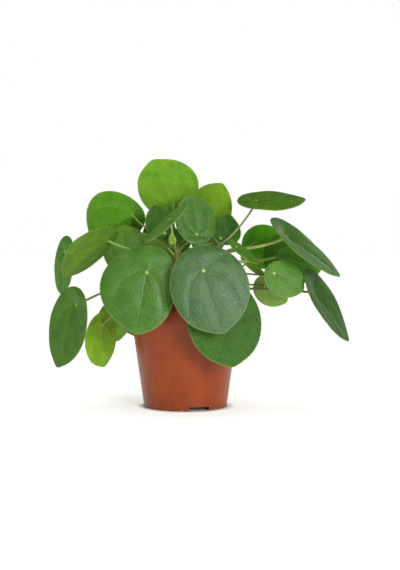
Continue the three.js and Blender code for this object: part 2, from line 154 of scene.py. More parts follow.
# Small young leaves round the bud, too slight to be solids of their own.
YOUNG_LEAVES = {
    "behind_bud": form("plain", (-4, 32, 166), (0.1, 0.93, 0.2), (-0.2, 1), 27, 23, 164, sink=0,
        heel=0.2, petiole="fresh"),
    "right_of_bud": form("pale", (20, 15, 168), (0.2, 0.9, 0.3), (0.3, 0.95), 30, 27, 158, sink=0,
        heel=0.22, petiole="fresh"),
    "left_of_bud": form("bud", (-20, -3, 176), (-0.4, -0.6, 0.7), (-0.5, 0.8), 14, 9, 172, sink=0,
        taper=0.6, petiole="fresh"),
}

HEEL = 0.28
HUB_SINK = 1
# How deep the hub lies, as a share of the bulge between the veins.
HUB_DIP = 0.6
TIP_POINT = 0.035
TIP_SHARPNESS = 30
# Longer blades have the finer mesh, given as sides and rings.
LARGE_LEAF = 48
LARGE_MESH = (120, 30)
SMALL_MESH = (84, 18)
# The rim turns over in four rings, at these angles from the blade's plane.
RIM_TILTS = [60, 20, -20, -60]
PETIOLE_RADIUS = 1.3
PETIOLE_RISE = 35
PETIOLE_LEAN = 0.4
PETIOLE_NECK = 0.3
PETIOLE_END_SHARE = 0.6
# How deep a petiole's first two rings lie inside the stem.
ROOT_DEPTHS = (3.2, 1.6)
PETIOLE_STEPS = 34
PETIOLE_SIDES = 14
GAP = 0.3

STEM_RADIUS = 4.5
STEM_DOME = 4.2
STEM_ROUTE = [(0, 0, 52), (0, 0, 92), (-3, 0, 120), (-8, 1, 150), (-12, 2, 182)]
BUD_SCALES = 5
SCALE_THICKNESS = 0.25

POT_FOOT_RADIUS = 43.5
POT_TOP_RADIUS = 56.3
POT_RIM_RADIUS = 60
POT_HEIGHT = 104
RIM_HEIGHT = 14.5
RIM_WALL = 1.8
POT_WALL = 1.5
# The drain slots.
SLOT_ANGLES = (-70, 50, 170)
SLOT_WIDTH = 22
SLOT_HEIGHT = 4
SLOT_DEPTH = 8
SLOT_ROUNDING = 0.7
BASE_RISE = 3
SOIL_TOP = 87
SOIL_CLEARANCE = 0.45
# The soil's top rises no more than this over its level.
SWELL_LIMIT = 1.6
PERLITE_SHARE = 0.09

# The camera's place and the point that it looks at, in metres.
CAMERA_PLACE = (0.0154, -1.2, 0.17)
CAMERA_AIM = (0.0154, 0, 0.127)
FLOOR_RADIUS = 20000
FLOOR_DROP = 0.3
WHITE = (1, 1, 1, 1)
SMOOTH = {"interpolation_type": "SMOOTHSTEP"}
TIMES = {"operation": "MULTIPLY"}
TIMES_PLUS = {"operation": "MULTIPLY_ADD"}
RGBA = {"data_type": "RGBA"}


def linear(tone):
    """An sRGB hex colour as linear red, green, blue and an alpha of 1."""
    values = [int(tone[i : i + 2], 16) / 255 for i in (1, 3, 5)]
    return tuple(v / 12.92 if v <= 0.04045 else ((v + 0.055) / 1.055) ** 2.4 for v in values) + (1.0,)


def pitch(millimetres):
    """The scale of a pattern with a pitch of so many millimetres, on coordinates in metres."""
    return 1 / (millimetres * MM)


def unit(values):
    """The same way with a length of 1."""
    values = np.array(values, dtype=float)
    return values / np.linalg.norm(values)


def turns(count):
    """Angles evenly round a circle."""
    return np.arange(count) * 2 * pi / count


def add_piece(name, places, faces, materials, slots=None, attributes=None, node=None, slot=None):
    """Makes a smooth-shaded mesh object from places in millimetres, and sets it in the frame."""
    mesh = bpy.data.meshes.new(name)
    mesh.from_pydata((np.asarray(places) * MM).tolist(), [], faces)
    for material in materials:
        mesh.materials.append(material)
    if slots:
        mesh.polygons.foreach_set("material_index", slots)
    for key, values in (attributes or {}).items():
        values = np.asarray(values, dtype=np.float32)
        kind, field = ("FLOAT_COLOR", "color") if values.shape[1] == 4 else ("FLOAT_VECTOR", "vector")
        mesh.attributes.new(key, kind, "POINT").data.foreach_set(field, values.ravel())
    mesh.shade_smooth()
    mesh.update()
    piece = bpy.data.objects.new(name, mesh)
    bpy.context.scene.collection.objects.link(piece)
    if slot:
        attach(piece, "root")
    if node:
        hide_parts(node)
    return piece


def ring_quads(rings, sides, start=0):
    """Quads between rings of vertices that follow each other."""
    return [
        (ring + i, ring + (i + 1) % sides, ring + sides + (i + 1) % sides, ring + sides + i)
        for ring in range(start, start + (rings - 1) * sides, sides)
        for i in range(sides)
    ]


def closed_faces(rings, sides, turned=False):
    """Faces over rings of vertices between two end points, which are the first vertex and the last."""
    last = 1 + rings * sides
    faces = [(0, 1 + (i + 1) % sides, 1 + i) for i in range(sides)]
    faces += ring_quads(rings, sides, 1)
    faces += [(last, last - sides + i, last - sides + (i + 1) % sides) for i in range(sides)]
    return [face[:1] + face[:0:-1] for face in faces] if turned else faces


def with_ends(first, rows, last):
    """Rings of values in one list, between two end points."""
    return np.concatenate([[first], rows.reshape(-1, 3), [last]])


def moved_faces(faces, count):
    """The same faces, for vertices that come after that many others."""
    return [tuple(count + v for v in face) for face in faces]


def lathe(profile, sides):
    """Places and faces of a profile of (radius, height) turned round Z. It starts and ends on the axis."""
    rings = [(r * cos(a), r * sin(a), height) for r, height in profile[1:-1] for a in turns(sides)]
    places = [(0, 0, profile[0][1])] + rings + [(0, 0, profile[-1][1])]
    return places, closed_faces(len(profile) - 2, sides)


def rounded(corners):
    """The profile through corners of (radius, height, rounding), with each of them rounded so much."""
    points = [np.array(corner[:2], dtype=float) for corner in corners]
    done = [points[0]]
    for before, corner, after, (_, _, size) in zip(points, points[1:], points[2:], corners[1:]):
        ways = (before - corner, after - corner)
        reach = min(size, *(np.linalg.norm(way) / 2 for way in ways))
        first, last = (corner + unit(way) * reach for way in ways)
        for t in np.linspace(0, 1, 5):
            done.append((1 - t) ** 2 * first + 2 * t * (1 - t) * corner + t**2 * last)
    return done + points[-1:]


def tube(path, radii, sides):
    """Places and faces of a round tube along a path, with closed ends."""
    ways = np.gradient(path, axis=0)
    ways /= np.linalg.norm(ways, axis=1)[:, None]
    side = np.cross(ways[0], (0, 1, 0.2))
    turn = turns(sides)[:, None]
    places = []
    for place, way, radius in zip(path, ways, radii):
        side = unit(side - way * side.dot(way))
        around = np.cos(turn) * side + np.sin(turn) * np.cross(way, side)
        places.append(place + np.broadcast_to(radius, (sides,))[:, None] * around)
    end = tuple(range(sides))
    faces = ring_quads(len(path), sides) + [end[::-1]] + moved_faces([end], (len(path) - 1) * sides)
    return np.concatenate(places), faces


def ripples(x, y, size, seed, count=6):
    """A soft uneven field from -1 to 1, with waves about size long."""
    chance = np.random.default_rng(seed)
    total = np.zeros_like(np.asarray(x, dtype=float))
    for _ in range(count):
        way = chance.uniform(0, 2 * pi)
        pace = 2 * pi / (size * chance.uniform(0.7, 1.5))
        total += np.sin((x * cos(way) + y * sin(way)) * pace + chance.uniform(0, 2 * pi))
    return total / count**0.5 / 1.4


def stem_axis(share):
    """A place on the stem's axis, on a centripetal Catmull-Rom curve through its route."""
    route = [np.array(p, dtype=float) for p in STEM_ROUTE]
    route = [2 * route[0] - route[1]] + route + [2 * route[-1] - route[-2]]
    spans = len(STEM_ROUTE) - 1
    span = min(int(share * spans), spans - 1)
    t = share * spans - span
    a, b, c, d = route[span : span + 4]
    ab, bc, cd = (np.linalg.norm(q - p) ** 0.5 for p, q in ((a, b), (b, c), (c, d)))
    leave = ((b - a) / ab - (c - a) / (ab + bc) + (c - b) / bc) * bc
    reach = ((c - b) / bc - (d - b) / (bc + cd) + (d - c) / cd) * bc
    along = 3 * t**2 - 2 * t**3
    return b * (1 - along) + c * along + leave * (t**3 - 2 * t**2 + t) + reach * (t**3 - t**2)


STEM_AXIS = np.array([stem_axis(i / 200) for i in range(201)])


def stem_at(height):
    """The stem's axis at a height."""
    return np.array([np.interp(height, STEM_AXIS[:, 2], STEM_AXIS[:, k]) for k in range(3)])


def petiole_route(leaf, below):
    """Points from inside the stem's skin, out and up, to a little below the hub."""
    hub, face = np.array(leaf["hub"], dtype=float), unit(leaf["face"])
    start = unit(leaf["start"]) if "start" in leaf else -face
    slant = sqrt(1 - min(1, start.dot(face) ** 2))
    end = hub - face * (PETIOLE_END_SHARE * PETIOLE_RADIUS * slant + below)
    axis = stem_at(leaf["root"])
    way = atan2(hub[1] - axis[1], hub[0] - axis[0]) + radians(leaf.get("turn", 0))
    away = np.array([cos(way), sin(way), 0])
    tilt = radians(leaf.get("rise", PETIOLE_RISE))
    first = away * cos(tilt) + (0, 0, sin(tilt))
    foot = axis + away * (STEM_RADIUS + GAP + PETIOLE_RADIUS * sin(tilt))
    span = np.linalg.norm(foot - end)
    leave = foot + first * PETIOLE_LEAN * span
    reach = end + start * PETIOLE_NECK * span
    t = np.linspace(0, 1, PETIOLE_STEPS)[:, None]
    curve = (1 - t) ** 3 * foot + 3 * t * (1 - t) ** 2 * leave + 3 * t**2 * (1 - t) * reach + t**3 * end
    return np.concatenate([[foot - first * depth for depth in ROOT_DEPTHS], curve])


def fill(node, inputs):
    """Gives a node's inputs, by name or in their order, values or other nodes' outputs."""
    for key, value in inputs.items() if isinstance(inputs, dict) else enumerate(inputs):
        if isinstance(value, bpy.types.NodeSocket):
            node.id_data.links.new(value, node.inputs[key])
        else:
            node.inputs[key].default_value = value


def add(tree, kind, inputs=(), **settings):
    """Adds a shader node with its settings and inputs, and returns its outputs."""
    node = tree.nodes.new("ShaderNode" + kind)
    for key, value in settings.items():
        setattr(node, key, value)
    fill(node, inputs)
    return node.outputs


def new_material(name):
    """A material. Returns it with its Principled shader, what adds a node to it, and its coordinates."""
    material = bpy.data.materials.new(name)
    material.use_nodes = True
    new = partial(add, material.node_tree)
    return material, material.node_tree.nodes["Principled BSDF"], new, new("TexCoord")["Object"]


def leaf_material(name, upper, looks):
    """A living leaf blade. Its cuticle is a thin natural wax, so the upper side is smooth with a broad
    soft sheen, never glossy. Cells and small veins show as a fine grain, the main veins are sunk in, and
    the dot over the petiole is pale. The underside is duller, with its veins raised. Wax: IOR 1.42."""
    material, shader, new, place = new_material(name)
    leaf = new("Attribute", attribute_name="tone")
    # Distances from three veins, and from the rim and the hub, with a share that fades the veins.
    apart = new("SeparateXYZ", [new("Attribute", attribute_name="veins")["Vector"]])
    edge = new("SeparateXYZ", [new("Attribute", attribute_name="blade")["Vector"]])
    # The veins waver by half a millimetre or so every 6 mm. The cells are drawn 1.4 mm wide, so that
    # they show. The clouds are 13 mm across.
    waver, cells, clouds = (
        new("TexNoise", {"Vector": place, "Scale": pitch(size), "Detail": detail, "Roughness": mix})[0]
        for size, detail, mix in ((6, 1, 0.5), (1.4, 2, 0.5), (13, 3, 0.6)))
    waver = new("MapRange", (waver, 0, 1, -1.2, 1.2))[0]
    # Each vein's half width and strength. They fade towards the rim and start outside the dot.
    lines = []
    for part, width, strength in (("X", 1.5, 1), ("Y", 1.4, 0.8), ("Z", 1.1, 0.4)):
        far = new("Math", (apart[part], waver))[0]
        far = new("Math", (far,), operation="ABSOLUTE")[0]
        lines.append(new("MapRange", (far, 0, width, strength, 0), **SMOOTH)[0])
    line = new("Math", lines[:2], operation="MAXIMUM")[0]
    line = new("Math", (line, lines[2]), operation="MAXIMUM")[0]
    fade = new("MapRange", (edge["Z"], 0, 1, 1, 0.1))[0]
    outside = new("MapRange", (edge["Y"], 1.5, 4.5), **SMOOTH)[0]
    for mask in (fade, outside):
        line = new("Math", (line, mask), **TIMES)[0]
    # The net's meshes are 4 mm wide.
    net = new("TexVoronoi", {"Vector": place, "Scale": pitch(4)}, feature="DISTANCE_TO_EDGE")[0]
    net = new("MapRange", (net, 0, 0.18, 1, 0), **SMOOTH)[0]
    # Colour: clouds and cells, then the net, the veins, the rim and the dot. On the upper side the veins
    # take painted shade, dark like the shade that falls in their grooves.
    spread, hue, rough = (
        new("MapRange", (clouds, 0.3, 0.7, *ends))[0]
        for ends in ((0.84, 1.16), (0.508, 0.492), (0.34, 0.46) if upper else (0.52, 0.64)))
    grain = new("MapRange", (cells, 0.3, 0.7, 0.86, 1.14))[0]
    value = new("Math", (spread, grain), **TIMES)[0]
    colour = new("HueSaturation", {"Hue": hue, "Value": value, "Color": leaf["Color"]})[0]
    rim = new("MapRange", (edge["X"], 0, 0.7, 0.4, 0), **SMOOTH)[0]
    dot = new("MapRange", (edge["Y"], 0.7, 2.3, 0.8, 0), **SMOOTH)[0]
    for mask, strength, tint in (
        (net, 0.08 if upper else 0.14, looks.net_colour),
        (line, 0.2 if upper else 0.25, looks.groove_shade_colour if upper else looks.vein_colour),
        (rim, 1, looks.rim_colour),
        (dot, 1, looks.dot_colour),
    ):
        share = new("Math", (mask, strength), **TIMES)[0]
        colour = new("Mix", {0: share, 6: colour, 7: tint}, **RGBA)[2]
    dull = new("Math", (1, leaf["Alpha"]), operation="SUBTRACT")[0]
    rough = new("Math", (rough, dull))[0]
    # Heights in millimetres.
    height = new("Math", (clouds, 0.8), **TIMES)[0]
    for part, tall in ((line, -0.5 if upper else 0.5), (net, -0.1 if upper else 0.1), (cells, 0.14)):
        height = new("Math", (part, tall, height), **TIMES_PLUS)[0]
    bump = new("Bump", {"Height": height, "Distance": MM})[0]
    fill(shader, {
        "Base Color": colour, "Roughness": rough, "Normal": bump, "IOR": 1.42,
        "Specular IOR Level": 0.5 if upper else 0.3})
    return material


def petiole_material():
    """A leaf stalk: watery under a thin smooth skin, so it has a soft shine, with fine streaks 0.5 mm
    wide along it and blotches 6 mm long."""
    material, shader, new, place = new_material("money_plant_petiole_smooth_skin")
    tone = new("Attribute", attribute_name="tone")["Color"]
    # In millimetres across the stalk, and stretched far along it.
    around = new("Attribute", attribute_name="blade")["Vector"]
    streaks = new("TexNoise", {"Vector": around, "Scale": pitch(0.5) * MM})[0]
    blotch = new("TexNoise", {"Vector": place, "Scale": pitch(6)})[0]
    both = new("Math", (streaks, blotch))[0]
    value = new("MapRange", (both, 0.7, 1.3, 0.78, 1.22))[0]
    colour = new("HueSaturation", {"Color": tone, "Value": value})[0]
    bump = new("Bump", {"Height": streaks, "Strength": 0.6, "Distance": 0.2 * MM})[0]
    rough = new("MapRange", (blotch, 0, 1, 0.34, 0.5))[0]
    fill(shader, {"Base Color": colour, "Roughness": rough, "Normal": bump, "IOR": 1.4})
    return material


def bark_material(looks):
    """The stem's bark: green skin near the top that turns to thin brown cork lower down, matt, with
    patches 7 mm across and upright cracks 2.4 mm apart."""
    material, shader, new, place = new_material("money_plant_stem_corky_bark")
    height = new("SeparateXYZ", [place])["Z"]
    patch = new("TexNoise", {"Vector": place, "Scale": pitch(7), "Detail": 4})[0]
    # The green starts about 125 mm up and is full at 170 mm, more or less with the patches.
    uneven = new("Math", (patch, 0.05, height), **TIMES_PLUS)[0]
    green = new("MapRange", (uneven, 0.15, 0.195))[0]
    colour = new("Mix", {0: green, 6: looks.bark_colour, 7: looks.skin_colour}, **RGBA)[2]
    upright = new("Mapping", {"Vector": place, "Scale": (1, 1, 0.45)})[0]
    cracks = new("TexVoronoi", {"Vector": upright, "Scale": pitch(2.4)}, feature="DISTANCE_TO_EDGE")[0]
    dark = new("MapRange", (cracks, 0, 0.2, 0.6, 1.1))[0]
    colour = new("HueSaturation", {"Color": colour, "Value": dark})[0]
    high = new("Math", (cracks, patch))[0]
    bump = new("Bump", {"Height": high, "Strength": 0.8, "Distance": 0.6 * MM})[0]
    rough = new("MapRange", (green, 0, 1, 0.85, 0.5))[0]
    fill(shader, {"Base Color": colour, "Roughness": rough, "Normal": bump, "IOR": 1.45})
    return material


def pot_material(looks):
    """Polypropylene, injection moulded and coloured through like terracotta. It is satin and clouded
    30 mm across, with flow marks 8 mm wide that are drawn out upright, level scuffs 1.2 mm high and 10 mm
    long where it has rubbed on others, and specks of lime and dust at its foot, 1.6 mm apart. IOR 1.49.
    The mould's grain is drawn 1.1 mm wide, so that it shows."""
    material, shader, new, place = new_material("polypropylene_terracotta_moulded")
    height = new("SeparateXYZ", [place])["Z"]
    upright = new("Mapping", {"Vector": place, "Scale": (1, 1, 0.22)})[0]
    level = new("Mapping", {"Vector": place, "Scale": (0.12, 0.12, 1)})[0]
    cloud, streak, grain, specks, scuffs = (
        new("TexNoise", {"Vector": way, "Scale": pitch(size), "Detail": detail, "Roughness": mix})[0]
        for way, size, detail, mix in (
            (place, 30, 4, 0.55), (upright, 8, 3, 0.5), (place, 1.1, 2, 0.5), (place, 1.6, 3, 0.5),
            (level, 1.2, 2, 0.5)))
    both = new("Math", (streak, 0.5, cloud), **TIMES_PLUS)[0]
    share = new("MapRange", (both, 0.5, 1))[0]
    colour = new("Mix", {0: share, 6: looks.dull_colour, 7: looks.colour}, **RGBA)[2]
    value = new("MapRange", (grain, 0.3, 0.7, 0.95, 1.05))[0]
    colour = new("HueSaturation", {"Color": colour, "Value": value})[0]
    # Lime and dust are thick at the foot and gone 10 mm up.
    low = new("MapRange", (height, 0, 10 * MM, 0.17, 0))[0]
    specks = new("Math", (specks, low))[0]
    dust = new("MapRange", (specks, 0.74, 0.82, 0, 0.5))[0]
    colour = new("Mix", {0: dust, 6: colour, 7: looks.dust_colour}, **RGBA)[2]
    scuffs = new("MapRange", (scuffs, 0.6, 0.75, 0, 0.12))[0]
    rough = new("MapRange", (cloud, 0.3, 0.7, 0.3, 0.42))[0]
    rough = new("Math", (rough, scuffs))[0]
    high = new("Math", (cloud, 3, grain), **TIMES_PLUS)[0]
    bump = new("Bump", {"Height": high, "Strength": 0.5, "Distance": 0.08 * MM})[0]
    fill(shader, {
        "Base Color": colour, "Roughness": rough, "Normal": bump, "IOR": 1.49, "Specular IOR Level": 0.32})
    return material


def soil_material(looks):
    """Moist peat potting soil, milled and pressed in: dark, crumbly and matt, with lighter dry fibres.
    Crumbs are 2 mm across and clods 4 mm."""
    material, shader, new, place = new_material("peat_potting_soil_moist")
    crumbs = new("TexVoronoi", {"Vector": place, "Scale": pitch(2)})
    clods = new("TexNoise", {"Vector": place, "Scale": pitch(4), "Detail": 5})[0]
    tint = new("SeparateColor", [crumbs["Color"]])[0]
    share = new("Math", (tint, clods), **TIMES)[0]
    colour = new("Mix", {0: share, 6: looks.dark_colour, 7: looks.light_colour}, **RGBA)[2]
    high = new("Math", (clods, 2, crumbs["Distance"]), **TIMES_PLUS)[0]
    bump = new("Bump", {"Height": high, "Distance": 1.2 * MM})[0]
    rough = new("MapRange", (clods, 0, 1, 0.8, 1))[0]
    fill(shader, {
        "Base Color": colour, "Roughness": rough, "Normal": bump, "IOR": 1.4, "Specular IOR Level": 0.3})
    return material


def perlite_material(looks):
    """Perlite: volcanic glass popped by heat, white, chalky and rough, with pores 1 mm across."""
    material, shader, new, place = new_material("perlite_expanded")
    pores = new("TexNoise", {"Vector": place, "Scale": pitch(1), "Detail": 3})[0]
    colour = new("Mix", {0: pores, 6: looks.pore_colour, 7: looks.perlite_colour}, **RGBA)[2]
    bump = new("Bump", {"Height": pores, "Distance": 0.5 * MM})[0]
    fill(shader, {"Base Color": colour, "Normal": bump, "Roughness": 0.9})
    return material


def floor_material(looks):
    """White background paper, lit through from below except under the pot, with a tooth of 2 mm that
    shows only close by."""
    material, shader, new, place = new_material("paper_white_translucent")
    tooth = new("TexNoise", {"Vector": place, "Scale": pitch(2)})[0]
    value = new("MapRange", (tooth, 0, 1, 0.985, 1.015))[0]
    colour = new("HueSaturation", {"Color": looks.floor_colour, "Value": value})[0]
    away = new("VectorMath", [place], operation="LENGTH")["Value"]
    foot = POT_FOOT_RADIUS * MM
    glow = new("MapRange", (away, foot, 1.2 * foot, 0, looks.glow))[0]
    fill(shader, {
        "Base Color": colour, "Emission Strength": glow, "Emission Color": WHITE, "Roughness": 0.95,
        "Specular IOR Level": 0.1})
    return material


def pot_radius(height):
    """The outer radius of the pot's wall, below the rim."""
    share = height / (POT_HEIGHT - RIM_HEIGHT)
    return POT_FOOT_RADIUS + (POT_TOP_RADIUS - POT_FOOT_RADIUS) * share


def make_pot(looks):
    """The pot: a turned form with rounded edges, and a base raised inside a foot ring with drain slots."""
    foot_inside = POT_FOOT_RADIUS - POT_WALL
    rim_foot = POT_HEIGHT - RIM_HEIGHT
    rim_inside = POT_RIM_RADIUS - RIM_WALL
    base_top = BASE_RISE + POT_WALL
    edge = looks.edge_radius / MM
    # Each corner's radius and height, and its rounding.
    corners = [
        (0, BASE_RISE, 0),
        (foot_inside, BASE_RISE, 0.6),
        (foot_inside, 0, 0.4),
        (POT_FOOT_RADIUS, 0, 0.9),
        (POT_TOP_RADIUS, rim_foot, 1.2),
        (POT_RIM_RADIUS, rim_foot, 0.9),
        (POT_RIM_RADIUS, POT_HEIGHT, edge),
        (rim_inside, POT_HEIGHT, edge),
        (rim_inside, rim_foot + POT_WALL, 1),
        (POT_TOP_RADIUS - POT_WALL, rim_foot, 1),
        (pot_radius(base_top) - POT_WALL, base_top, 0.8),
        (0, base_top, 0),
    ]
    places, faces = lathe(rounded(corners), looks.sides)
    pot = add_piece("grower_pot", places, faces, [pot_material(looks)], node="pot", slot="pot_plastic")
    reach = POT_FOOT_RADIUS * MM
    for angle in SLOT_ANGLES:
        turn = radians(angle)
        bpy.ops.mesh.primitive_cube_add(size=1)
        cutter = bpy.context.active_object
        cutter.scale = (SLOT_DEPTH * MM, SLOT_WIDTH * MM, 2 * SLOT_HEIGHT * MM)
        cutter.rotation_euler.z = turn
        cutter.location = (reach * cos(turn), reach * sin(turn), 0)
        soften = cutter.modifiers.new("round", "BEVEL")
        soften.width = SLOT_ROUNDING * MM
        soften.segments = 3
        cut = pot.modifiers.new("slot", "BOOLEAN")
        cut.operation = "DIFFERENCE"
        cut.solver = "EXACT"
        cut.object = cutter
        bpy.context.view_layer.objects.active = pot
        bpy.ops.object.modifier_apply(modifier=cut.name)
        bpy.data.objects.remove(cutter)
    pot.data.set_sharp_from_angle(angle=radians(35))


def crumb_form():
    """The twelve corners and twenty faces of a rough round lump."""
    golden = (1 + 5**0.5) / 2
    corners = []
    for a, b in product((-1, 1), (-golden, golden)):
        corners += [(0, a, b), (a, b, 0), (b, 0, a)]
    corners = np.array(corners) / sqrt(1 + golden**2)
    faces = []
    for i, j, k in combinations(range(12), 3):
        p, q, r = corners[[i, j, k]]
        # Only corners next to each other are this close.
        if max(np.linalg.norm(side) for side in (p - q, q - r, p - r)) < 1.1:
            faces.append((i, j, k) if np.cross(q - p, r - p).dot(p) > 0 else (i, k, j))
    return corners, faces


def make_soil(looks):
    """The plug of soil with a crumbly top, and loose crumbs and perlite pressed into it."""
    inside = pot_radius(SOIL_TOP) - POT_WALL - SOIL_CLEARANCE
    foot = BASE_RISE + POT_WALL + GAP
    hole = STEM_RADIUS + GAP
    floor = STEM_ROUTE[0][2] - GAP
    rings, sides = 52, 190
    # Rings at the bottom of the stem's hole, over the top, and at the plug's foot.
    radii = hole + (inside - hole) * np.arange(rings + 1) / rings
    radii = np.concatenate([[hole], radii, [pot_radius(foot) - POT_WALL - SOIL_CLEARANCE]])
    x, y = (np.outer(radii, wave(turns(sides))) for wave in (np.cos, np.sin))
    rise = 0.5 * ripples(x, y, 26, 3) + 0.45 * ripples(x, y, 6, 4, 9) + 0.4 * ripples(x, y, 2.6, 5, 12)
    z = np.minimum(SOIL_TOP + looks.unevenness / MM * rise, SOIL_TOP + SWELL_LIMIT)
    z[0], z[-1] = floor, foot
    places = [with_ends((0, 0, floor), np.stack([x, y, z], axis=-1), (0, 0, foot))]
    faces = closed_faces(rings + 3, sides, turned=True)
    slots = [0] * len(faces)
    # Loose crumbs. About one in eleven is perlite.
    chance = np.random.default_rng(11)
    lump, lump_faces = crumb_form()
    count = len(places[0])
    for _ in range(looks.crumbs):
        away = inside * sqrt(chance.uniform(0.02, 0.93))
        way = chance.uniform(0, 2 * pi)
        spot = (away * cos(way), away * sin(way), SOIL_TOP + chance.uniform(-0.3, 0.6))
        perlite = chance.uniform() < PERLITE_SHARE
        size = chance.uniform(0.5, 1.7) if perlite else chance.uniform(0.6, 2.2)
        crumb = lump * chance.uniform(0.75, 1.25, lump.shape) * size * chance.uniform(0.6, 1, 3)
        places.append(crumb + spot)
        faces += moved_faces(lump_faces, count)
        slots += [int(perlite)] * len(lump_faces)
        count += len(lump)
    add_piece(
        "potting_soil", np.concatenate(places), faces, [soil_material(looks), perlite_material(looks)],
        slots, node="soil", slot="soil")


def make_stem(looks):
    """The stem, swollen a little at each petiole, with scales round the bud at its top."""
    steps, sides = 150, 32
    path = np.array([stem_axis(i / (steps - 1)) for i in range(steps)])
    turn = turns(sides)
    radii = []
    # It narrows by a tenth from 140 mm up, and has shallow ridges.
    for height in path[:, 2]:
        size = STEM_RADIUS * (0.97 - 0.1 * np.clip((height - 140) / 45, 0, 1))
        swell = sum(0.35 * exp(-(((height - leaf["root"]) / 2.2) ** 2)) for leaf in LEAVES.values())
        ridge = 0.12 * np.sin(turn * 5 + height * 0.21) + 0.08 * np.sin(turn * 9 - height * 0.5)
        radii.append(np.minimum(size + min(swell, 0.5) - 0.35 + ridge, STEM_RADIUS + 0.25))
    top = path[-1]
    way = unit(path[-1] - path[-2])
    for share in (0.35, 0.65, 0.85, 0.97):
        path = np.vstack([path, top + way * STEM_DOME * share])
        radii.append(radii[steps - 1] * sqrt(1 - share**2))
    places, faces = tube(path, radii, sides)
    parts, slots = [places], [0] * len(faces)
    count = len(places)
    # Thin pointed scales that wrap the bud, each with a front and a back.
    rows, columns = 9, 5
    for i in range(BUD_SCALES):
        around = i * 2.4 + 0.5
        out = np.array([cos(around), sin(around), 0])
        across = np.array([-out[1], out[0], 0])
        scale = []
        for t in np.linspace(0, 1, rows):
            centre = top + out * (3.4 - 2.2 * t**1.5) + (0, 0, -3 + 7.4 * t)
            half = 1.9 * sin(pi * min(0.97, 0.28 + 0.7 * t))
            for side in np.linspace(-1, 1, columns):
                scale.append(centre + across * half * side - out * 0.5 * side**2)
        parts += [scale, np.array(scale) - out * SCALE_THICKNESS]
        for t, s in product(range(rows - 1), range(columns - 1)):
            first = count + t * columns + s
            quad = (first, first + 1, first + columns + 1, first + columns)
            faces += [quad] + moved_faces([quad[::-1]], len(scale))
            slots += [1, 1]
        count += 2 * len(scale)
    places = np.concatenate(parts)
    add_piece(
        "upright_stem", places, faces, [bark_material(looks), petiole_material()], slots,
        {"tone": np.tile(looks.scale_colour, (count, 1)), "blade": places * (1, 1, 0.1)},
        node="stem", slot="stem")


def blade_surface(leaf, angle, share):
    """The blade's middle surface: its hub at the origin, its point along +X and its upper side +Z."""
    length, width = leaf["length"], leaf["width"]
    point = TIP_POINT * length * np.maximum(0, np.cos(angle)) ** TIP_SHARPNESS
    along = length * (0.5 - leaf.get("heel", HEEL) + 0.5 * np.cos(angle)) + point
    across = 0.5 * width * np.sin(angle) * (1 - leaf.get("taper", 0) * np.maximum(0, np.cos(angle)))
    side = np.abs(across * share) / (0.5 * width)
    shift = leaf.get("aside", 0) * np.sin(angle) ** 2
    height = leaf.get("sink", HUB_SINK) * share * (2 - share) - leaf.get("dome", 0) * share**2
    return along * share, (across + shift) * share, height + leaf.get("fold", 0) * side


